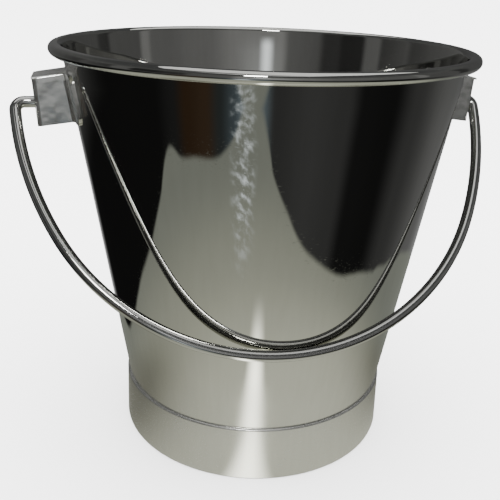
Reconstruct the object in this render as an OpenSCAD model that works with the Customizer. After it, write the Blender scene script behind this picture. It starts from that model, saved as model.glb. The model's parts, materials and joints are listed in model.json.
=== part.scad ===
// Feed bucket: a stainless steel pail with a rolled rim, a foot ring, two ears and a wire bail.
// Millimetres, +Z up. The origin is the centre of the circle that the foot ring stands on.
// The ears are on +X and -X. The bail rests against the front of the wall, on the -Y side.

/* [Bowl] */
// Diameter over the rolled rim
rim_d = 300; // [240:1:380]
// Height from the floor to the top of the rim
height = 297.5; // [240:0.5:400]
// Outer diameter of the wall where the foot ring's top edge meets it
waist_d = 205; // [165:1:255]
// Thickness of the bowl's sheet
sheet = 0.9; // [0.6:0.1:1.4]
// Height of the bowl's underside above the floor
base_lift = 22; // [12:1:30]
// Outside radius of the bend between the bottom and the wall
corner_r = 10; // [6:0.5:16]
// Height of the rolled rim's section
roll_h = 7.4; // [6:0.1:10]
// Width of the rolled rim's section
roll_w = 9.4; // [8:0.1:13]

/* [Foot ring] */
// Height of the foot ring
foot_h = 42.5; // [36:0.5:60]
// Outer diameter of the foot ring where it meets the floor
foot_d = 210; // [172:1:262]
// Thickness of the foot ring's sheet
foot_sheet = 0.9; // [0.6:0.1:1.2]
// How far the skirt stands out from the wall below its curled-in top edge
foot_gap = 1.7; // [1.6:0.1:3]
// Width of the hem that is turned inwards under the skirt
hem_w = 5; // [3:0.5:9]

/* [Ears] */
// Distance from the top of the rim down to the bail's axis
pivot_drop = 40.5; // [34:0.5:60]
// Distance from the wall out to the ear's outer face, at the bail's axis
ear_reach = 24.6; // [22:0.1:32]
// Width of the ear's box, front to back
ear_w = 29; // [24:0.5:40]
// Height of the ear's outer face above the bail's axis
ear_above = 18.5; // [14:0.5:24]
// Height of the ear's outer face below the bail's axis
ear_below = 14.5; // [11:0.5:24]
// How far the ear's outer face leans out towards its top, in degrees
ear_tilt = 3.5; // [0:0.5:8]
// Thickness of the ear's sheet
ear_sheet = 1.4; // [1:0.1:2]
// Outside radius of the bends between the ear's outer face and its sides
ear_bend_r = 4; // [2.5:0.5:6]
// How far each welded flange reaches beyond the ear's box
flange_w = 20; // [12:0.5:26]
// Radius of each flange's two free corners
flange_corner_r = 7; // [3:0.5:10]
// Height of the lip that the top flap turns down over the sides
lip_h = 5; // [3:0.5:8]
// How far that lip stands out from the two sides
lip_t = 0.7; // [0.5:0.1:1.2]

/* [Bail] */
// Diameter of the bail's wire
wire_d = 8; // [5:0.5:9]
// Extra width of each ear hole over the wire
hole_play = 1.4; // [1:0.1:2]
// How far the bail can slide to each side of the middle
bail_play = 3.2; // [1:0.1:5]
// Share of that play that is taken up, towards -X where it is negative
bail_slid = -1; // [-1:0.1:1]
// Gap left between the ear and the nearer leg when the bail has slid all the way
leg_slack = 0.3; // [0.3:0.1:1]
// Distance from the bail's axis to the middle of the wire at its far point
bail_depth = 188; // [180:0.5:205]
// Radius of the two long arcs at the bail's sides
side_r = 230; // [225:1:300]
// How far the centres of those side arcs lie above the bail's axis
side_rise = 6; // [0:0.5:15]
// Middle radius of the bend between the leg and the end in the ear
bend_r = 6; // [5:0.5:7.5]
// Diameter of the flattened head inside the ear
head_d = 13; // [10:0.5:14]
// Thickness of that head
head_t = 2.5; // [2:0.5:4]
// Gap left between the resting wire and the wall
rest_gap = 0.6; // [0.4:0.1:1]

/* [Hidden] */
$fn = 96;
bend_steps = 10;
head_slack = 0.3;
band_l = 2;
band_swell = 0.2;

// The rolled rim is two half circles joined by two short flats.
roll_r = roll_h / 2;
roll_flat = roll_w - roll_h;
roll_far = [rim_d / 2 - roll_r, height - roll_r];
roll_near = roll_far - [roll_flat, 0];

// The wall is the line from the waist that just touches the inner side of the roll.
waist = [waist_d / 2, foot_h];
roll_reach = norm(roll_near - waist);
lean = atan2(roll_near[0] - waist[0], roll_near[1] - waist[1]) - asin((roll_r - sheet) / roll_reach);
function wall_r(z) = waist[0] + (z - waist[1]) * tan(lean);

pivot_z = height - pivot_drop;
ear_out = wall_r(pivot_z) + ear_reach;
ear_foot = pivot_z - ear_below;
ear_h = ear_above + ear_below;
// A leg bends in again beyond its widest point, by leg_dip where it passes the ear's corner.
ear_corner = norm([ear_w / 2, max(ear_above, ear_below)]);
bend_span = sqrt((side_r - bend_r) ^ 2 - (bend_r + side_rise) ^ 2);
leg_dip = bend_r + bend_span - sqrt(side_r ^ 2 - (ear_corner + side_rise) ^ 2);
ear_swell = max(ear_above, ear_below) * tan(ear_tilt);
leg_x = ear_out + ear_swell + leg_dip + leg_slack + bail_play + wire_d / 2;
// The head stays inside the leaning face at the lower edge of the head.
head_x = ear_out - ear_sheet - head_d / 2 * tan(ear_tilt) - head_slack - bail_play;
hole_d = wire_d + hole_play;
rest_angle = asin((wire_d / 2 + rest_gap + wall_r(pivot_z) * cos(lean)) / bail_depth) - lean;

// Points along an arc about centre c, from angle a0 to angle a1.
function arc(c, r, a0, a1, steps = bend_steps) =
    [for (i = [0:steps]) let (a = a0 + (a1 - a0) * i / steps) c + r * [cos(a), sin(a)]];

function reversed(list) = [for (i = [len(list) - 1:-1:0]) list[i]];

// One face of the bowl's sheet, from the middle of the bottom round to the edge of the rim.
// depth is 0 on the face that points out and down, and the sheet's thickness on the other.
function bowl_face(depth) =
    let (
        corner_z = base_lift + corner_r,
        corner = [wall_r(corner_z) - corner_r / cos(lean), corner_z],
        roll = roll_r - sheet + depth
    )
    concat(
        [[0, base_lift + depth]],
        arc(corner, corner_r - depth, -90, -lean),
        arc(roll_near, roll, 180 - lean, 90, 6),
        arc(roll_far, roll, 90, -90, 2 * bend_steps),
        arc(roll_near, roll, -90, -130, 4)
    );

module pail_body() {
    color("silver")
        rotate_extrude($fn = 180)
            polygon(concat(bowl_face(0), reversed(bowl_face(sheet))));
}

// One face of the foot ring's sheet: depth is 0 outside and the thickness inside.
function ring_face(depth) =
    let (
        lip_r = foot_gap,
        skirt_top = [waist[0], foot_h - lip_r],
        hem_r = foot_sheet + 0.8,
        hem_bend = [foot_d / 2 - hem_r, hem_r]
    )
    concat(
        [[wall_r(foot_h - depth), foot_h - depth]],
        arc(skirt_top, lip_r - depth, 80, 0, 6),
        arc(hem_bend, hem_r - depth, 0, -90, 6),
        [[foot_d / 2 - hem_w, depth]]
    );

module foot_ring() {
    color("lightgray")
        rotate_extrude($fn = 180)
            polygon(concat(ring_face(0), reversed(ring_face(foot_sheet))));
}

// The outline of the ear's box seen along its outer face, open on the side of the bowl. wider adds to
// its two sides, and inside takes the sheet off all round.
module ear_outline(wider = 0, inside = 0) {
    half = ear_w / 2 + wider - inside;
    far = ear_out - inside;
    r = ear_bend_r - inside;
    polygon(concat(
        [[0, -half]],
        arc([far - r, -half + r], r, -90, 0, 8),
        arc([far - r, half - r], r, 0, 90, 8),
        [[0, half]]
    ));
}

module ear_block(wider = 0, inside = 0) {
    translate([ear_out, 0, pivot_z])
        rotate([0, ear_tilt, 0])
            translate([-ear_out, 0, -2 * ear_h])
                linear_extrude(4 * ear_h)
                    ear_outline(wider, inside);
}

// The ear stands square to the sloping wall: this turns its children down to match, about
// the lower edge of the ear's outer face.
module square_to_wall() {
    translate([ear_out, 0, ear_foot])
        rotate([0, lean, 0])
            children();
}

// A level of the ear, from one height to another above its lower edge.
module ear_level(low, high) {
    square_to_wall()
        translate([-ear_out, -ear_w, low])
            cube([2 * ear_out, 2 * ear_w, high - low]);
}

// Everything inside the wall's outer face, grown by a thickness.
module wall_cone(grow = 0) {
    z0 = ear_foot - ear_h;
    z1 = ear_foot + 2 * ear_h;
    translate([0, 0, z0])
        cylinder(h = z1 - z0, r1 = wall_r(z0) + grow, r2 = wall_r(z1) + grow, $fn = 180);
}

// The ear's flanges: a plate with round corners, wrapped on the wall.
module ear_flanges() {
    half = ear_w / 2 + flange_w;
    r = flange_corner_r;
    top = ear_h * cos(lean);
    difference() {
        intersection() {
            wall_cone(ear_sheet);
            square_to_wall()
                translate([1 - ear_out, 0, 0])
                    rotate([90, 0, 90])
                        linear_extrude(ear_out)
                            polygon(concat(
                                arc([half - r, r], r, -90, 0, 8),
                                arc([half - r, top - r], r, 0, 90, 8),
                                arc([r - half, top - r], r, 90, 180, 8),
                                arc([r - half, r], r, 180, 270, 8)
                            ));
        }
        ear_block(inside = ear_sheet);
    }
}

module ear() {
    top = ear_h * cos(lean);
    difference() {
        union() {
            intersection() {
                difference() {
                    ear_block();
                    ear_block(inside = ear_sheet);
                }
                ear_level(0, top);
            }
            intersection() {
                ear_block(wider = lip_t);
                ear_level(top - ear_sheet, top);
            }
            intersection() {
                difference() {
                    ear_block(wider = lip_t);
                    ear_block(inside = ear_sheet / 2);
                }
                ear_level(top - lip_h, top);
            }
            ear_flanges();
        }
        wall_cone();
        translate([ear_out - ear_bend_r, 0, pivot_z])
            rotate([0, 90, 0])
                cylinder(h = 2 * ear_bend_r, d = hole_d);
    }
}

module ear_right() {
    color("gainsboro") ear();
}

module ear_left() {
    color("gainsboro") mirror([1, 0, 0]) ear();
}

// The bail lies flat here, with its axis along X and its far point on -Y. Its curve is one
// far arc between two side arcs, and a small bend at each end, all tangent.
bend_x = leg_x - bend_r;
side_x = bend_x - bend_span;
side_drop = bail_depth + side_rise;
far_r = (side_r ^ 2 - side_x ^ 2 - side_drop ^ 2) / (2 * (side_r - side_drop));
side_start = atan2(bend_r + side_rise, bend_span);
side_end = atan2(side_drop - far_r, -side_x);
function side_point(angle) = [side_x + side_r * cos(angle), side_rise - side_r * sin(angle)];

module wire_arc(r, turn) {
    rotate_extrude(angle = turn)
        translate([r, 0]) circle(d = wire_d, $fn = 32);
}

// A short band, a hair thicker than the wire, makes one solid of the two arcs that meet in it.
module wire_band(place, turn) {
    translate(place)
        rotate([90, 0, turn])
            translate([0, 0, -band_l / 2]) cylinder(h = band_l, d = wire_d + band_swell);
}

module bail_end() {
    translate([side_x, side_rise, 0])
        rotate([0, 0, -side_end]) wire_arc(side_r, side_end - side_start);
    translate([bend_x, -bend_r, 0])
        rotate([0, 0, -side_start]) wire_arc(bend_r, 90 + side_start);
    translate([head_x - head_t, 0, 0])
        rotate([0, 90, 0]) {
            cylinder(h = bend_x - head_x + head_t, d = wire_d);
            cylinder(h = head_t, d = head_d);
        }
    wire_band(side_point(side_end), -side_end);
    wire_band(side_point(side_start), -side_start);
    wire_band([bend_x, 0], 90);
}

module bail() {
    color("silver")
        translate([bail_slid * bail_play, 0, pivot_z])
            rotate([90 - rest_angle, 0, 0]) {
                translate([0, far_r - bail_depth, 0])
                    rotate([0, 0, side_end - 180]) wire_arc(far_r, 180 - 2 * side_end);
                bail_end();
                mirror([1, 0, 0]) bail_end();
            }
}

pail_body();
foot_ring();
ear_left();
ear_right();
bail();
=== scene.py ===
# %% [markdown]
# # A stainless steel feed bucket
# The pail is spun from one sheet of stainless steel: a raised bottom, a wall that widens
# upwards and a rim that is rolled outwards. A foot ring holds it off the ground, two bent
# ears are welded under the rim, and a wire bail swings in them.
# The engineering model is loaded first. It fixes every size and place, and each piece made
# here stands for one of its parts, so the piece keeps that part's box and only gains detail.

import json
from math import asin, atan2, cos, degrees, hypot, pi, radians, sin, sqrt, tan

import bmesh
import bpy
from mathutils import Matrix, Vector


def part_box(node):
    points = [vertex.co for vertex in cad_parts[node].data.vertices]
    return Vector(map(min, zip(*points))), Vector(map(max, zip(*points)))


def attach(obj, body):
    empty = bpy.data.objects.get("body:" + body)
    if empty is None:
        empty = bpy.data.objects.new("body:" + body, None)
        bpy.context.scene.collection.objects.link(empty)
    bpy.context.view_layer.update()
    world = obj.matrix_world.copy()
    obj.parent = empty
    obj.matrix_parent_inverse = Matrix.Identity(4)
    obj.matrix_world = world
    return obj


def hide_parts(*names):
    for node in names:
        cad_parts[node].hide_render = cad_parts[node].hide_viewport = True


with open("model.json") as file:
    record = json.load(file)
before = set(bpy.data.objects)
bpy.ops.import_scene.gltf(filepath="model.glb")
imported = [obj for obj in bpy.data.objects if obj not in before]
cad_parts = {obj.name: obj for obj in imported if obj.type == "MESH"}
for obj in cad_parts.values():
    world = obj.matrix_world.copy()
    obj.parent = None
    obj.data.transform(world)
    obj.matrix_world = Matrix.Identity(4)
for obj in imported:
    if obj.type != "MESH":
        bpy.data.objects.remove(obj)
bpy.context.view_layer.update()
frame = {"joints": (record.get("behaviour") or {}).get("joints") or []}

# %% [markdown]
# ## The sizes that every step shares
# All lengths are in metres. The boxes of the engineering parts give the overall sizes. What
# a box can't tell, such as the wall's slope, is worked out here the same way a drawing does
# it: the wall is the straight line from the waist that just touches the rolled rim.

# %% Read and work out the sizes
MM = 0.001
pail_low, pail_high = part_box("pail_body")
ring_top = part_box("foot_ring")[1][2]
bail_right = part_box("bail")[1][0]

rim_r = 150 * MM
rim_z = pail_high[2]
roll_r = 3.7 * MM
roll_flat = 2 * MM
sheet = 0.9 * MM
waist_r = 102.5 * MM
waist_z = ring_top
lift = pail_low[2]
corner_r = 10 * MM

roll_far = (rim_r - roll_r, rim_z - roll_r)
roll_near = (rim_r - roll_r - roll_flat, rim_z - roll_r)
span = (roll_near[0] - waist_r, roll_near[1] - waist_z)
lean = atan2(span[0], span[1]) - asin((roll_r - sheet) / hypot(*span))
joint = frame["joints"][0]
pivot = Vector((0, 0, 257 * MM))


def wall_r(z):
    """Outer radius of the wall at a height."""
    return waist_r + (z - waist_z) * tan(lean)


print("wall leans out by", round(degrees(lean), 2), "degrees, joint:", joint)

# %% [markdown]
# ## The camera
# The bucket is seen from a little above and a little to the left of its front, from about
# half a metre. The camera is made before the pieces, so that a look through it is possible
# at every stage. Its turn is written as three simple turns: round the upright axis, down
# towards the floor, and a slight roll.

# %% Place the camera
side_turn = radians(13.5)
reach = 0.5262
camera_data = bpy.data.cameras.new("camera")
camera_data.sensor_width = 36
camera_data.lens = 51.23
camera_data.clip_start = 0.01
camera_data.clip_end = 200
camera = bpy.data.objects.new("camera", camera_data)
bpy.context.scene.collection.objects.link(camera)
camera.matrix_world = (
    Matrix.Translation((-reach * sin(side_turn), -reach * cos(side_turn), 0.34825))
    @ Matrix.Rotation(-side_turn + radians(0.61), 4, "Z")
    @ Matrix.Rotation(radians(90 - 21.74), 4, "X")
    @ Matrix.Rotation(radians(1.96), 4, "Z")
)
bpy.context.scene.camera = camera
print("camera at", [round(c, 3) for c in camera.matrix_world.translation])

# %% [markdown]
# ## Nodes without the typing
# Every finish below is a small graph of shader nodes. Adding a node takes three or four
# lines by hand, so one helper makes a node, sets its inputs and links whatever is passed in
# as the output of another node.

# %% A helper for shader nodes


def add(tree, kind, inputs=(), **settings):
    """Adds a shader node. inputs maps an input's name or number to a value or an output."""
    made = tree.nodes.new("ShaderNode" + kind)
    for name, value in settings.items():
        setattr(made, name, value)
    for name, value in dict(inputs).items():
        if isinstance(value, bpy.types.NodeSocket):
            tree.links.new(value, made.inputs[name])
        else:
            made.inputs[name].default_value = value
    return made


def maths(tree, operation, first, second=0.0, third=0.0, clamp=False):
    """One step of arithmetic on numbers or outputs."""
    inputs = {0: first, 1: second, 2: third}
    return add(tree, "Math", inputs, operation=operation, use_clamp=clamp).outputs[0]


def fade(tree, value, start, stop, low=0.0, high=1.0):
    """Goes smoothly from low to high while value goes from start to stop."""
    inputs = {"Value": value, "From Min": start, "From Max": stop, "To Min": low, "To Max": high}
    return add(tree, "MapRange", inputs, interpolation_type="SMOOTHSTEP").outputs[0]


def mix(tree, amount, first, second, blend="MIX"):
    """Mixes two colours."""
    made = add(tree, "Mix", data_type="RGBA", blend_type=blend)
    for name, value in ((0, amount), (6, first), (7, second)):
        if isinstance(value, bpy.types.NodeSocket):
            tree.links.new(value, made.inputs[name])
        else:
            made.inputs[name].default_value = value
    return made.outputs[2]


def grey(level, red=1.0, green=1.0, blue=1.0):
    """A grey, with a slight tint."""
    return (level * red, level * green, level * blue, 1)


# %% [markdown]
# ## What polished steel sees
# Polished steel has hardly any colour of its own: it shows its surroundings. In a studio, pale
# tables and black cloths are set around a metal pot to draw its shape. Here
# the surroundings are a procedural sky in world directions: a pale table below, dark cloths
# standing round it with a curving lower edge, and a grey room above. The way to draw
# it is to turn a direction into a compass angle and a height, and to fade between tones.

# %% Paint the surroundings
world = bpy.data.worlds.new("studio")
bpy.context.scene.world = world
world.use_nodes = True
sky = world.node_tree
sky.nodes.clear()
direction = add(sky, "TexCoord").outputs["Generated"]
split = add(sky, "SeparateXYZ", {0: direction})
level = split.outputs[2]
compass = maths(sky, "ARCTAN2", split.outputs[0], maths(sky, "MULTIPLY", split.outputs[1], -1))
angle = maths(sky, "MULTIPLY", compass, 180 / pi)
height = maths(sky, "MULTIPLY", maths(sky, "ARCSINE", level), 180 / pi)
wobble = add(sky, "TexNoise", {"Vector": direction, "Scale": 2.2, "Detail": 3}).outputs[0]


def hump(middle, width):
    """1 at a compass angle, and 0 that many degrees to either side of it."""
    away = maths(sky, "ABSOLUTE", maths(sky, "SUBTRACT", angle, middle))
    return fade(sky, away, 0, width, 1, 0)


def product(*factors):
    """All the factors multiplied together."""
    total = factors[0]
    for factor in factors[1:]:
        total = maths(sky, "MULTIPLY", total, factor)
    return total


def fade_line(value, start, stop):
    """0 to 1 in a straight line while value goes from start to stop."""
    return add(sky, "MapRange", {"Value": value, "From Min": start, "From Max": stop}).outputs[0]


def ramp(stops, ease="EASE"):
    """A tone that follows the compass angle. A stop is an angle in degrees and a grey or a colour."""
    made = add(sky, "ValToRGB", {0: fade_line(angle, -180, 180)})
    made.color_ramp.interpolation = ease
    points = made.color_ramp.elements
    while len(points) < len(stops):
        points.new(0.5)
    for point, (where, tone) in zip(points, stops):
        point.position = (where + 180) / 360
        point.color = tone if isinstance(tone, tuple) else grey(tone)
    return made.outputs[0]


# How far below the horizon the table ends, as a share of 100 degrees, round the compass.
edge = ramp([(-165, 0.28), (-150, 0.325), (-133, 0.345), (-114, 0.345), (-93, 0.335), (-80, 0.31),
             (-72, 0.285), (-64, 0.3), (-51, 0.31), (-38, 0.315), (-28, 0.3), (-20, 0.278),
             (-13, 0.292), (-6, 0.33), (11, 0.37), (30, 0.385), (58, 0.37), (83, 0.335),
             (97, 0.305), (112, 0.275), (150, 0.22)], "CARDINAL")
over_table = maths(sky, "MULTIPLY_ADD", edge, 100, height)
over_table = maths(sky, "ADD", over_table, maths(sky, "MULTIPLY_ADD", wobble, 1.0, -0.5))
# The table's edge is sharp, but soft in the gap between the cloths.
softness = maths(sky, "MULTIPLY_ADD", hump(-17, 14), 2.2, 0.4)
is_room = fade(sky, over_table, -0.3, softness)

table_tone = mix(sky, fade(sky, height, -46, -31), grey(0.5, 1, 1.02, 0.84), grey(0.235, 1, 1.05, 0.92))

# The dark cloths, from left to right: black, brown, a gap, dark grey, black, and pale ends.
cloths = ramp([(-175, grey(0.5)), (-158, grey(0.008)), (-78, grey(0.009)), (-66, grey(0.018)),
               (-58, (0.035, 0.021, 0.012, 1)), (-46, (0.045, 0.029, 0.018, 1)),
               (-38, (0.03, 0.034, 0.034, 1)), (-30, (0.06, 0.075, 0.085, 1)),
               (-22, (0.2, 0.24, 0.27, 1)), (-14, (0.13, 0.16, 0.18, 1)), (-6, grey(0.04)),
               (16, grey(0.055)), (36, grey(0.045)), (46, grey(0.012)), (66, grey(0.01)),
               (84, grey(0.05)), (120, grey(0.14)), (165, grey(0.42))])
room_grey = grey(0.11, 1, 1.02, 1)
ceiling_grey = grey(0.07, 1, 1.02, 1.04)
room_tone = mix(sky, fade(sky, height, -20, -8), cloths, room_grey)
room_tone = mix(sky, fade(sky, height, 20, 45), room_tone, ceiling_grey)

# Furniture round the room at eye level, which the inside of the bowl mirrors.
furniture = ramp([(-170, 0.117), (-137, 0.0845), (-128, 0.065), (-120, 0.0585), (-116, 0.091),
                  (-104, 0.065), (-96, 0.052), (-93, 0.13), (-84, 0.1235), (-81, 0.026),
                  (-67, 0.0234), (-64, 0.039), (-54, 0.039), (-50, 0.0975), (-30, 0.13),
                  (-25, 0.26), (10, 0.221), (22, 0.156), (38, 0.1495), (52, 0.1235), (66, 0.13),
                  (69, 0.208), (73, 0.208), (76, 0.091), (100, 0.0975), (103, 0.039),
                  (110, 0.0455), (114, 0.0845), (170, 0.0715)], "LINEAR")
eye_level = product(fade(sky, height, -11, -7), fade(sky, height, 30, 18))
room_tone = mix(sky, eye_level, room_tone, furniture)

# A pale wall behind the viewer, with a narrow bright door in it.
pale_wall = product(hump(-11, 20), fade(sky, height, -15, -5), fade(sky, height, 18, 6))
room_tone = mix(sky, pale_wall, room_tone, grey(0.4, 0.98, 1, 1.01))
door = product(hump(-15, 6), fade(sky, height, 8.5, 10), fade(sky, height, 17, 13))
room_tone = mix(sky, door, room_tone, grey(1.5, 0.95, 1, 1.04))

# A long ceiling light, which draws the thin bright lines on round parts.
ceiling_light = product(fade(sky, height, 50, 53), fade(sky, height, 60, 57), hump(-20, 60))
room_tone = mix(sky, ceiling_light, room_tone, grey(1.2))
surroundings = mix(sky, is_room, table_tone, room_tone)

# Short slanting streaks of cold light from a window, in the gap between the cloths. The angle
# and the height are weighed so that a streak is wide, thin and slants down to the right.
slant = maths(sky, "MULTIPLY_ADD", height, 1.3, maths(sky, "MULTIPLY", angle, 0.16))
along = maths(sky, "MULTIPLY_ADD", height, -0.3, maths(sky, "MULTIPLY", angle, 0.1))
ripple = add(sky, "CombineXYZ", {0: slant, 1: along}).outputs[0]
ripple = add(sky, "TexNoise", {"Vector": ripple, "Scale": 1, "Detail": 3, "Roughness": 0.6}).outputs[0]
streaked = product(hump(-24, 10), fade(sky, height, -43, -34), fade(sky, height, -12, -22),
                   fade(sky, ripple, 0.46, 0.72))
surroundings = mix(sky, streaked, surroundings, grey(1.3, 0.92, 0.99, 1.04))
window = product(hump(-24, 7), fade(sky, height, -28.5, -26.5), fade(sky, height, -20, -24))
surroundings = mix(sky, maths(sky, "MULTIPLY", window, 0.8), surroundings, grey(1.5, 0.92, 0.99, 1.03))

# Only mirror rays see all this. Everything else is lit by an even, pale studio.
pale_studio = grey(6)
seen = add(sky, "LightPath").outputs["Is Glossy Ray"]
surroundings = mix(sky, seen, pale_studio, surroundings)
glow = add(sky, "Background", {"Color": surroundings, "Strength": 1.0})
add(sky, "OutputWorld", {"Surface": glow.outputs[0]})
print("surroundings:", len(sky.nodes), "nodes")

# %% [markdown]
# ## The floor and the lamps
# The floor is a plain pale disc, wide enough to reach past the picture on every side. It is
# hidden from mirror rays, so the steel sees the painted table instead of a white sheet.
# One large lamp overhead gives soft shadows, and a smaller one behind the camera gives the
# bright sparks.

# %% Make the floor and the lamps
floor_r = 30
card_r = 0.35
bpy.ops.object.select_all(action="DESELECT")
bpy.ops.mesh.primitive_circle_add(vertices=96, radius=floor_r, fill_type="NGON", location=(0, 0, 0))
floor = bpy.context.object
floor.name = "floor"
floor.visible_glossy = False
pale = bpy.data.materials.new("pale_floor")
pale.use_nodes = True
pale_shader = pale.node_tree.nodes["Principled BSDF"]
pale_shader.inputs["Base Color"].default_value = grey(0.9)
pale_shader.inputs["Roughness"].default_value = 0.8
pale_shader.inputs["Specular IOR Level"].default_value = 0.0
floor.data.materials.append(pale)

# The part of the table that is near enough for the foot ring and the lower wall to mirror. Only
# mirror rays see it. It fades out into the painted table, and one bright line on it draws the
# upright streak on the satin.
bpy.ops.object.select_all(action="DESELECT")
bpy.ops.mesh.primitive_circle_add(vertices=96, radius=card_r, fill_type="NGON", location=(0, 0, 0.001))
table = bpy.context.object
table.name = "table_near"
table.visible_camera = False
table.visible_diffuse = False
table.visible_shadow = False
table_card = bpy.data.materials.new("table_card")
table_card.use_nodes = True
card = table_card.node_tree
card.nodes.clear()
spot = add(card, "TexCoord").outputs["Object"]
spot_parts = add(card, "SeparateXYZ", {0: spot})
away = add(card, "VectorMath", {0: spot}, operation="LENGTH").outputs["Value"]
# Brighter in front than beside the pail, where the cloths shade it.
ahead = maths(card, "DIVIDE", maths(card, "MULTIPLY", spot_parts.outputs[1], -1), away)
lit = mix(card, fade(card, away, 0.12, 0.34), grey(0.8, 1, 1.01, 0.84), grey(0.56, 1, 1.02, 0.85))
card_tone = mix(card, fade(card, ahead, 0.0, 1.0), grey(0.2, 1, 1.0, 0.8), lit)
# The bright line runs nearly straight to the front. off_line is the distance from its middle.
line_half_w = 0.022
off_line = maths(card, "MULTIPLY_ADD", spot_parts.outputs[1], -0.16, spot_parts.outputs[0])
off_line = maths(card, "ABSOLUTE", maths(card, "ADD", off_line, 0.0095))
on_line = maths(card, "MULTIPLY", fade(card, off_line, line_half_w, 0.0),
                fade(card, spot_parts.outputs[1], -0.06, -0.1))
on_line = maths(card, "MULTIPLY", on_line, fade(card, away, 0.3, 0.17))
card_tone = mix(card, on_line, card_tone, grey(5, 1, 1, 0.88))
card_light = add(card, "Emission", {"Color": card_tone})
clear_card = add(card, "BsdfTransparent")
# The card ends nearer to the pail at the sides than in front.
reach_out = maths(card, "DIVIDE", away, maths(card, "MULTIPLY_ADD", ahead, 0.45, 1.0))
gone = fade(card, reach_out, 0.13, 0.225)
shown = add(card, "MixShader", {0: gone, 1: card_light.outputs[0], 2: clear_card.outputs[0]})
add(card, "OutputMaterial", {"Surface": shown.outputs[0]})
table.data.materials.append(table_card)


def lamp(name, place, target, size, power):
    """A square area lamp at a place, facing a target."""
    data = bpy.data.lights.new(name, "AREA")
    data.size = size
    data.energy = power
    made = bpy.data.objects.new(name, data)
    bpy.context.scene.collection.objects.link(made)
    aim = Vector(target) - Vector(place)
    made.matrix_world = Matrix.Translation(place) @ aim.to_track_quat("-Z", "Y").to_matrix().to_4x4()
    return made


over = lamp("lamp_over", (0.3, 0.4, 3.2), (0, 0, 0), 3.5, 40)
front = lamp("lamp_front", (-0.7, -2.2, 2.1), (0, 0, 0.15), 0.5, 22)
print("lamps:", over.name, front.name)

# %% [markdown]
# ## The steel
# All pieces are the same stainless steel, finished in different ways. The upper wall is
# mirror polished. The lower wall and the foot ring are left satin, with fine lines round the
# pail from the buffing wheel. The ears are given a lighter tint, which is painted light, and
# the wire a darker tint, which is painted shade. So one function makes the finish, and the
# polish, the height where it turns satin and the size of the lines are its choices.

# %% The steel finish
plain_tint = (0.66, 0.66, 0.63)


def steel(name, polish, satin, satin_from=None, satin_to=None, lines=0.5, worn=0.0, tint=plain_tint):
    """Stainless steel: polish and satin are the roughness above and below the two heights."""
    made = bpy.data.materials.new(name)
    made.use_nodes = True
    tree = made.node_tree
    shader = tree.nodes["Principled BSDF"]
    place = add(tree, "TexCoord").outputs["Object"]
    parts = add(tree, "SeparateXYZ", {0: place})
    flat = add(tree, "CombineXYZ", {0: parts.outputs[0], 1: parts.outputs[1]})
    around = add(tree, "VectorMath", {0: flat.outputs[0]}, operation="NORMALIZE").outputs[0]
    patches = add(tree, "TexNoise", {"Vector": place, "Scale": 22, "Detail": 4}).outputs[0]
    # Fine lines round the pail: noise that changes quickly with height only.
    upright = add(tree, "Mapping", {"Vector": place, "Scale": (3, 3, 900)}).outputs[0]
    rings = add(tree, "TexNoise", {"Vector": upright, "Scale": 1, "Detail": 4}).outputs[0]
    # Faint streaks up and down: noise that changes quickly with the compass angle only.
    drawn = add(tree, "CombineXYZ", {2: maths(tree, "MULTIPLY", parts.outputs[2], 1.2)}).outputs[0]
    drawn = add(tree, "VectorMath", {0: around, 1: drawn}, operation="ADD").outputs[0]
    streaks = add(tree, "TexNoise", {"Vector": drawn, "Scale": 26, "Detail": 5}).outputs[0]
    # Handling marks: short thin scratches in all directions.
    turned = add(tree, "Mapping", {"Vector": place, "Rotation": (0.5, 0.9, 0.3), "Scale": (25, 160, 160)})
    scratch = add(tree, "TexNoise", {"Vector": turned.outputs[0], "Scale": 9, "Detail": 6}).outputs[0]
    scratch = fade(tree, scratch, 0.62, 0.72)
    # 1 where the finish is satin.
    if satin_from is None:
        amount = fade(tree, patches, 0.35, 0.7, 0.0, 0.35)
    else:
        uneven = maths(tree, "MULTIPLY_ADD", patches, 0.03, parts.outputs[2])
        amount = fade(tree, uneven, satin_from + 0.015, satin_to + 0.015, 0, 1)
    rough = maths(tree, "MULTIPLY_ADD", amount, satin - polish, polish)
    rough = maths(tree, "MULTIPLY_ADD", maths(tree, "SUBTRACT", streaks, 0.5), 0.03 * lines, rough)
    rough = maths(tree, "MULTIPLY_ADD", scratch, 0.05, rough)
    smudge = fade(tree, patches, 0.55, 0.75, 0, 0.03)
    rough = maths(tree, "MAXIMUM", maths(tree, "ADD", rough, smudge), 0.02)
    tree.links.new(rough, shader.inputs["Roughness"])
    tone = mix(tree, patches, (*tint, 1), (*(c * 0.9 for c in tint), 1))
    tone = mix(tree, maths(tree, "MULTIPLY", streaks, 0.25 * lines), tone, grey(0.4, 1, 1, 0.9))
    tree.links.new(tone, shader.inputs["Base Color"])
    relief = maths(tree, "MULTIPLY", maths(tree, "MULTIPLY", rings, amount), 0.3 * lines)
    relief = maths(tree, "MULTIPLY_ADD", scratch, -0.12 * lines, relief)
    # Bent and handled sheet is never quite flat: broad soft dents that stretch the reflections.
    dents = add(tree, "TexNoise", {"Vector": place, "Scale": 62, "Detail": 2}).outputs[0]
    relief = maths(tree, "MULTIPLY_ADD", dents, 42.0 * worn, relief)
    if lines or worn:
        bump = add(tree, "Bump", {"Height": relief, "Strength": 0.25, "Distance": 0.00005})
        tree.links.new(bump.outputs[0], shader.inputs["Normal"])
    shader.inputs["Metallic"].default_value = 1.0
    print("finish", name, "with", len(tree.nodes), "nodes")
    return made


bowl_steel = steel("bowl_steel", 0.022, 0.22, 0.105, 0.06, lines=1.0)
ring_steel = steel("ring_steel", 0.24, 0.27, lines=1.0)
# The ears' steel has a lighter tint than the bowl's. This is painted light that brightens the ears.
ear_steel = steel("ear_steel", 0.14, 0.3, lines=0.6, worn=1.6, tint=(0.86, 0.86, 0.83))
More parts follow.
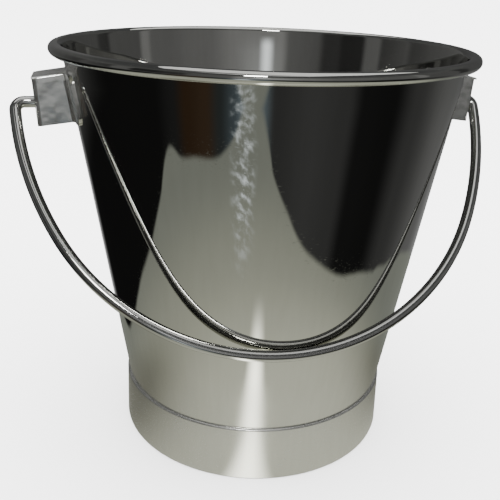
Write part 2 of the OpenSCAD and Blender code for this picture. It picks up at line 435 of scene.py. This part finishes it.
# The wire's steel has a darker tint than the bowl's. This is painted shade that darkens the wire.
wire_steel = steel("wire_steel", 0.08, 0.16, lines=0, tint=(0.55, 0.55, 0.53))

# %% [markdown]
# ## Working in edit mode from a script
# By hand one clicks an edge and presses a key. In a script the same operators work on what
# is selected, so these helpers select by place, and step a ring of edges up a profile: each
# step is an extrude and a resize about the axis, which is how a potter or a metal spinner
# would think of the shape.

# %% Helpers for modelling


def clear():
    """Leaves edit mode and deselects everything."""
    if bpy.context.mode != "OBJECT":
        bpy.ops.object.mode_set(mode="OBJECT")
    bpy.ops.object.select_all(action="DESELECT")


def named(name):
    """Names the object that was just added, puts its place in its mesh and returns it."""
    made = bpy.context.object
    bpy.ops.object.transform_apply(location=True, rotation=True, scale=True)
    made.name = name
    made.data.name = name
    return made


def edit(piece):
    """Opens one piece in edit mode with nothing else selected."""
    clear()
    bpy.context.view_layer.objects.active = piece
    piece.select_set(True)
    bpy.ops.object.mode_set(mode="EDIT")


def pick(piece, kind, test):
    """Selects the corners, edges or faces (VERT, EDGE, FACE) that pass a test."""
    bpy.ops.mesh.select_mode(type=kind)
    bpy.ops.mesh.select_all(action="DESELECT")
    shape = bmesh.from_edit_mesh(piece.data)
    items = {"VERT": shape.verts, "EDGE": shape.edges, "FACE": shape.faces}[kind]
    for item in items:
        if test(item):
            item.select_set(True)
    shape.select_flush_mode()
    bmesh.update_edit_mesh(piece.data)
    return sum(item.select for item in items)


def arc(centre, r, start, stop, steps):
    """Points along an arc, in the plane of radius and height. Angles are in degrees."""
    turns = [radians(start + (stop - start) * i / steps) for i in range(steps + 1)]
    return [(centre[0] + r * cos(a), centre[1] + r * sin(a)) for a in turns]


def spun(name, profile, sides, closed=True):
    """A piece of revolution: a ring that is extruded and resized along a profile."""
    clear()
    r, z = profile[0]
    bpy.ops.mesh.primitive_circle_add(vertices=sides, radius=max(r, 0.0001), location=(0, 0, z))
    piece = named(name)
    edit(piece)
    bpy.ops.mesh.select_all(action="SELECT")
    for next_r, next_z in profile[1:]:
        next_r = max(next_r, 0.0001)
        bpy.ops.mesh.extrude_region_move(TRANSFORM_OT_translate={"value": (0, 0, next_z - z)})
        grow = next_r / max(r, 0.0001)
        bpy.ops.transform.resize(value=(grow, grow, 1), center_override=(0, 0, next_z))
        r, z = next_r, next_z
    bpy.ops.mesh.select_all(action="SELECT")
    bpy.ops.mesh.remove_doubles(threshold=0.00001)
    return piece


def finish_mesh(piece, angle=35):
    """Turns the faces outwards, smooths what is round and keeps what is sharp."""
    edit(piece)
    bpy.ops.mesh.select_all(action="SELECT")
    bpy.ops.mesh.normals_make_consistent(inside=False)
    clear()
    piece.select_set(True)
    bpy.context.view_layer.objects.active = piece
    bpy.ops.object.shade_smooth_by_angle(angle=radians(angle))
    low = [min(v.co[i] for v in piece.data.vertices) for i in range(3)]
    high = [max(v.co[i] for v in piece.data.vertices) for i in range(3)]
    print(piece.name, len(piece.data.polygons), "faces", [round(c * 1000, 1) for c in low + high])


# %% [markdown]
# ## The bowl
# A real pail like this is spun from one flat disc, so its shape is one line turned round an
# axis: flat bottom, a rounded corner, the sloping wall, and the rim that rolls outwards until
# its edge nearly meets the wall again. A lathe modifier would also do it, but stepping a ring
# along the line puts each ring exactly where a curve needs it, which mirrors show. The line is
# followed once on the outer face and once back on the inner face, so that the sheet has a real
# thickness and the roll is really hollow.

# %% Model the bowl
wall_top = rim_z - 10 * MM
wall_steps = 24
spun_sides = 192


def bowl_face(depth):
    """The line of one face of the sheet: depth is 0 outside and the thickness inside."""
    corner = (wall_r(lift + corner_r) - corner_r / cos(lean), lift + corner_r)
    tilt = degrees(lean)
    # Two rings on the flat bottom keep its faces short.
    line = [(0, lift + depth), (0.03, lift + depth), (0.06, lift + depth)]
    line += arc(corner, corner_r - depth, -90, -tilt, 12)
    bottom_z = line[-1][1]
    for i in range(1, wall_steps):
        z = bottom_z + (wall_top - bottom_z) * i / wall_steps
        line.append((wall_r(z) - depth / cos(lean), z))
    roll = roll_r - sheet + depth
    line += arc(roll_near, roll, 180 - tilt, 90, 8)
    line += arc(roll_far, roll, 90, -90, 22)
    line += arc(roll_near, roll, -90, -130, 5)
    return line


bowl = spun("bowl", bowl_face(0) + bowl_face(sheet)[::-1], spun_sides)
finish_mesh(bowl, 50)
bowl.data.materials.append(bowl_steel)
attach(bowl, "pail")
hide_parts("pail_body")

# %% [markdown]
# ## The foot ring
# The foot ring is a band that is welded under the bowl. Its top edge curls in to the wall, so
# a thin dark line shows where they meet, and its lower edge is turned in as a hem that the
# pail stands on. It is another shape of revolution, made with the same helper.

# %% Model the foot ring
foot_r = 105 * MM
hem_w = 5 * MM
lip_r = 1.7 * MM


def ring_face(depth):
    """The line of one face of the band: depth is 0 outside and the thickness inside."""
    hem = sheet + 0.8 * MM
    line = [(wall_r(waist_z - depth) + 0.02 * MM, waist_z - depth)]
    line += arc((waist_r, waist_z - lip_r), lip_r - depth, 80, 0, 8)
    line += arc((foot_r - hem, hem), hem - depth, 0, -90, 8)
    line += [(foot_r - hem_w, depth)]
    return line


ring = spun("foot_band", ring_face(0) + ring_face(sheet)[::-1] + ring_face(0)[:1], spun_sides)
finish_mesh(ring, 50)
ring.data.materials.append(ring_steel)
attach(ring, "pail")
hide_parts("foot_ring")

# %% [markdown]
# ## The ears
# Each ear is a strip of sheet that is bent into a box: two flanges lie on the wall and are
# spot welded, two sides stand out from it, and the outer face carries the hole for the bail.
# A cap is folded over the top. The strip starts as a cube with its open faces removed. Its
# two outer edges are bevelled into bends, its free edges are pulled out as flanges, and a
# Shrinkwrap lays the flanges on the round wall. Solidify then gives the sheet its thickness.

# %% Model one ear
ear_w = 29 * MM
ear_reach = 24.6 * MM
ear_out = wall_r(pivot.z) + ear_reach
ear_tilt = tan(radians(3.5))
ear_foot = pivot.z - 14.5 * MM
ear_top = pivot.z + 18.5 * MM
ear_sheet = 1.4 * MM
outer_bend = 4 * MM
inner_bend = 2.2 * MM
flange_w = 20 * MM
flange_corner = 7 * MM
flange_half = ear_w / 2 + flange_w
wall_x = 140 * MM
rise = tan(lean)


def cube_at(name, low, high):
    """A box from its lowest to its highest corner, as a start for a piece."""
    clear()
    middle = [(a + b) / 2 for a, b in zip(low, high)]
    bpy.ops.mesh.primitive_cube_add(size=1, location=middle, scale=[b - a for a, b in zip(low, high)])
    return named(name)


def slope_down(piece):
    """Lifts every corner by its distance from the outer face, and leans the outer face out."""
    for v in piece.data.vertices:
        v.co.z += (ear_out - v.co.x) * rise
        if v.co.x > wall_x + 5 * MM:
            v.co.x += (v.co.z - pivot.z) * ear_tilt


def modify(piece, name, kind, **settings):
    """Adds a modifier with its settings and applies it."""
    made = piece.modifiers.new(name, kind)
    for key, value in settings.items():
        setattr(made, key, value)
    clear()
    bpy.context.view_layer.objects.active = piece
    piece.select_set(True)
    bpy.ops.object.modifier_apply(modifier=name)


def make_ear():
    """The strip of the right ear, without the cap and welds that are added to it later."""
    half = ear_w / 2
    ear = cube_at("ear_strip", (wall_x, -half, ear_foot), (ear_out, half, ear_top))
    edit(ear)
    pick(ear, "FACE", lambda f: abs(f.normal.z) > 0.9 or f.normal.x < -0.9)
    bpy.ops.mesh.delete(type="FACE")
    pick(ear, "EDGE", lambda e: all(v.co.x > ear_out - MM for v in e.verts) and abs(
        e.verts[0].co.z - e.verts[1].co.z) > MM)
    bpy.ops.mesh.bevel(offset=outer_bend, segments=8, affect="EDGES")
    for side in (-1, 1):
        pick(ear, "EDGE", lambda e: all(v.co.x < wall_x + MM and v.co.y * side > 0 for v in e.verts))
        bpy.ops.mesh.extrude_region_move(TRANSFORM_OT_translate={"value": (0, side * flange_w, 0)})
    pick(ear, "VERT", lambda v: abs(v.co.y) > flange_half - MM)
    bpy.ops.mesh.bevel(offset=flange_corner, segments=8, affect="VERTICES")
    # Upright cuts let each flange follow the round wall.
    for i in range(1, 8):
        for side in (-1, 1):
            bpy.ops.mesh.select_all(action="SELECT")
            cut = side * (half + 2.6 * MM * i)
            bpy.ops.mesh.bisect(plane_co=(0, cut, 0), plane_no=(0, 1, 0))
    clear()
    slope_down(ear)
    on_wall = ear.vertex_groups.new(name="on_wall")
    on_wall.add([v.index for v in ear.data.vertices if v.co.x < wall_x + MM], 1, "REPLACE")
    for v in ear.data.vertices:
        if v.co.x < wall_x + MM:
            v.co.x += 12 * MM
    modify(ear, "lay_on_wall", "SHRINKWRAP", target=bowl, vertex_group="on_wall", wrap_method="PROJECT",
           use_project_x=True, use_positive_direction=False, use_negative_direction=True,
           offset=ear_sheet)
    ear.vertex_groups.clear()
    edit(ear)
    pick(ear, "EDGE", lambda e: all(abs(abs(v.co.y) - half) < 0.1 * MM for v in e.verts) and all(
        v.co.x < wall_x + 4 * MM for v in e.verts))
    bpy.ops.mesh.bevel(offset=inner_bend, segments=5, affect="EDGES")
    bpy.ops.mesh.select_all(action="SELECT")
    bpy.ops.mesh.normals_make_consistent(inside=False)
    clear()
    outward = sum(p.normal.x * p.area for p in ear.data.polygons) > 0
    modify(ear, "thickness", "SOLIDIFY", thickness=ear_sheet, offset=-1 if outward else 1,
           use_even_offset=True)
    return ear


ear_right = make_ear()
finish_mesh(ear_right, 40)

# %% [markdown]
# ### The cap, the hole and the welds
# The cap is its own folded sheet. It covers the top of the box and turns down over its two
# sides as a lip. The hole is drilled with a Boolean, and every spot weld is a shallow dome that
# is pressed up from a disc.

# %% Cap, hole and welds
lip_h = 5 * MM
lip_t = 0.7 * MM
lip_end = ear_out - outer_bend - 0.5 * MM
hole_r = 4.7 * MM
weld_r = 2.4 * MM
weld_y = ear_w / 2 + 11.5 * MM
weld_heights = (pivot.z - 6.5 * MM, pivot.z + 9 * MM)


def make_cap():
    """The folded cap on the right ear's box."""
    half = ear_w / 2 + lip_t
    cap = cube_at("ear_cap", (wall_x - 6 * MM, -half, ear_top - lip_h), (ear_out, half, ear_top))
    edit(cap)
    pick(cap, "FACE", lambda f: f.normal.z < -0.9 or abs(f.normal.x) > 0.9)
    bpy.ops.mesh.delete(type="FACE")
    pick(cap, "EDGE", lambda e: all(v.co.z > ear_top - MM for v in e.verts) and abs(
        e.verts[0].co.x - e.verts[1].co.x) > MM)
    bpy.ops.mesh.bevel(offset=1.6 * MM, segments=4, affect="EDGES")
    # The lips stop short of the outer bends, which stay in sight over their full height.
    bpy.ops.mesh.select_all(action="SELECT")
    bpy.ops.mesh.bisect(plane_co=(lip_end, 0, 0), plane_no=(1, 0, 0))
    pick(cap, "FACE", lambda f: abs(f.normal.y) > 0.9 and f.calc_center_median().x > lip_end)
    bpy.ops.mesh.delete(type="FACE")
    clear()
    slope_down(cap)
    modify(cap, "thickness", "SOLIDIFY", thickness=lip_t, offset=-1, use_even_offset=True)
    return cap


def add_weld(piece, y, z):
    """A shallow weld dome on the flange of the right ear."""
    clear()
    r = wall_r(z) + ear_sheet / cos(lean)
    place = (sqrt(r * r - y * y), y, z)
    bpy.ops.mesh.primitive_circle_add(vertices=24, radius=weld_r, fill_type="NOTHING")
    dome = named("weld")
    edit(dome)
    bpy.ops.mesh.select_all(action="SELECT")
    bpy.ops.transform.translate(value=(0, 0, -0.6 * MM))
    r_now = weld_r
    for r_next, step in ((2.2, 0.75), (1.7, 0.2), (1.0, 0.12), (0.3, 0.04)):
        bpy.ops.mesh.extrude_region_move(TRANSFORM_OT_translate={"value": (0, 0, step * MM)})
        bpy.ops.transform.resize(value=(r_next * MM / r_now,) * 2 + (1,))
        r_now = r_next * MM
    bpy.ops.mesh.edge_face_add()
    clear()
    out = Vector((place[0] * cos(lean) / r, y * cos(lean) / r, -sin(lean)))
    dome.data.transform(Matrix.Translation(place) @ out.to_track_quat("Z", "Y").to_matrix().to_4x4())
    join(piece, dome)


def join(piece, *others):
    """Makes one object of several."""
    clear()
    for other in others:
        other.select_set(True)
    piece.select_set(True)
    bpy.context.view_layer.objects.active = piece
    bpy.ops.object.join()


def drill(piece, radius):
    """Cuts the bail's hole through the outer face."""
    clear()
    bpy.ops.mesh.primitive_cylinder_add(vertices=48, radius=radius, depth=8 * MM,
                                        location=(ear_out, 0, pivot.z), rotation=(0, pi / 2, 0))
    tool = named("drill")
    modify(piece, "hole", "BOOLEAN", operation="DIFFERENCE", object=tool, solver="EXACT")
    bpy.data.objects.remove(tool)


cap = make_cap()
drill(ear_right, hole_r)
join(ear_right, cap)
for side in (-1, 1):
    for weld_z in weld_heights:
        add_weld(ear_right, side * weld_y, weld_z)
ear_right.name = "ear_right_sheet"
finish_mesh(ear_right, 40)

# %% [markdown]
# ### The second ear
# The other ear is the same part turned round to the other side. It is copied with its own
# mesh and mirrored, and since a mirrored mesh is inside out, its normals are made again.

# %% Copy the ear to the other side
clear()
ear_left = ear_right.copy()
ear_left.data = ear_right.data.copy()
bpy.context.scene.collection.objects.link(ear_left)
ear_left.name = "ear_left_sheet"
ear_left.data.transform(Matrix.Scale(-1, 4, (1, 0, 0)))
finish_mesh(ear_left, 40)
for ear, node in ((ear_right, "ear_right"), (ear_left, "ear_left")):
    ear.data.materials.clear()
    ear.data.materials.append(ear_steel)
    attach(ear, "pail")
    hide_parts(node)

# %% [markdown]
# ## The bail
# The bail is one length of round wire. Each end turns in through an ear and is flattened to a
# head inside it, so that it can't slip out. Then a tight bend, a long nearly straight leg, and
# one wide curve underneath. A circle is extruded and spun from one end to the middle, and a
# Mirror makes the other half.

# %% Work out the bail's curve
wire_r = 4 * MM
slid = -3.2 * MM
bail_depth = 188 * MM
bend_r = 6 * MM
side_r = 230 * MM
side_rise = 6 * MM
rest_gap = 0.6 * MM
head_r = 6.4 * MM
leg_x = bail_right - slid - wire_r
bend_x = leg_x - bend_r
side_x = bend_x - sqrt((side_r - bend_r) ** 2 - (bend_r + side_rise) ** 2)
drop = bail_depth + side_rise
far_r = (side_r**2 - side_x**2 - drop**2) / (2 * (side_r - drop))
side_start = atan2(bend_r + side_rise, bend_x - side_x)
side_end = atan2(drop - far_r, -side_x)
rest_turn = asin((wire_r + rest_gap + wall_r(pivot.z) * cos(lean)) / bail_depth) - lean
print("legs at", round(leg_x * 1000, 2), "mm, resting", round(degrees(rest_turn), 2), "degrees from upright")

# %% [markdown]
# The bail is drawn lying flat, with its axis along X, and turned down into its resting place
# at the end. A spin with a positive angle turns clockwise when seen from above, which follows
# the half on +X from its end in the ear towards the middle.

# %% Model the bail


def turn_wire(piece, centre, angle, steps):
    """Spins the selected end of the wire about an upright axis, clockwise for a positive angle."""
    bpy.ops.mesh.spin(steps=steps, angle=angle, center=(*centre, 0), axis=(0, 0, 1))


def make_bail():
    """Half of the wire from its head to the middle, mirrored."""
    head_x = ear_out - ear_sheet - 0.7 * MM + slid
    clear()
    bpy.ops.mesh.primitive_circle_add(vertices=56, radius=wire_r, fill_type="NOTHING",
                                      location=(bend_x, 0, 0), rotation=(0, pi / 2, 0))
    wire = named("bail_wire")
    edit(wire)
    bpy.ops.mesh.select_all(action="SELECT")
    turn_wire(wire, (bend_x, -bend_r), pi / 2 + side_start, 16)
    turn_wire(wire, (side_x, side_rise), side_end - side_start, 70)
    turn_wire(wire, (0, far_r - bail_depth), pi / 2 - side_end, 40)
    pick(wire, "EDGE", lambda e: all(abs(v.co.x - bend_x) < 0.01 * MM and v.co.y > -wire_r * 1.1
                                     for v in e.verts))
    # From the ear inwards: the wire thickens a little, spreads to the head and closes.
    profile = [(wire_r, head_x + 1.4 * MM), (wire_r + 0.4 * MM, head_x + 0.5 * MM),
               (head_r - 0.8 * MM, head_x), (head_r, head_x - 0.6 * MM), (head_r, head_x - 1.7 * MM),
               (head_r - 0.8 * MM, head_x - 2.4 * MM), (2.6 * MM, head_x - 2.5 * MM)]
    x, r = bend_x, wire_r
    for next_r, next_x in profile:
        bpy.ops.mesh.extrude_region_move(TRANSFORM_OT_translate={"value": (next_x - x, 0, 0)})
        bpy.ops.transform.resize(value=(1, next_r / r, next_r / r), center_override=(next_x, 0, 0))
        x, r = next_x, next_r
    bpy.ops.mesh.edge_face_add()
    clear()
    modify(wire, "other_half", "MIRROR", use_mirror_merge=True, merge_threshold=0.0001)
    clear()
    wire.select_set(True)
    bpy.context.view_layer.objects.active = wire
    turned = Matrix.Translation((slid, 0, pivot.z)) @ Matrix.Rotation(pi / 2 - rest_turn, 4, "X")
    wire.data.transform(turned)
    return wire


bail = make_bail()
finish_mesh(bail, 45)
bail.data.materials.append(wire_steel)
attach(bail, "bail")
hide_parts("bail")
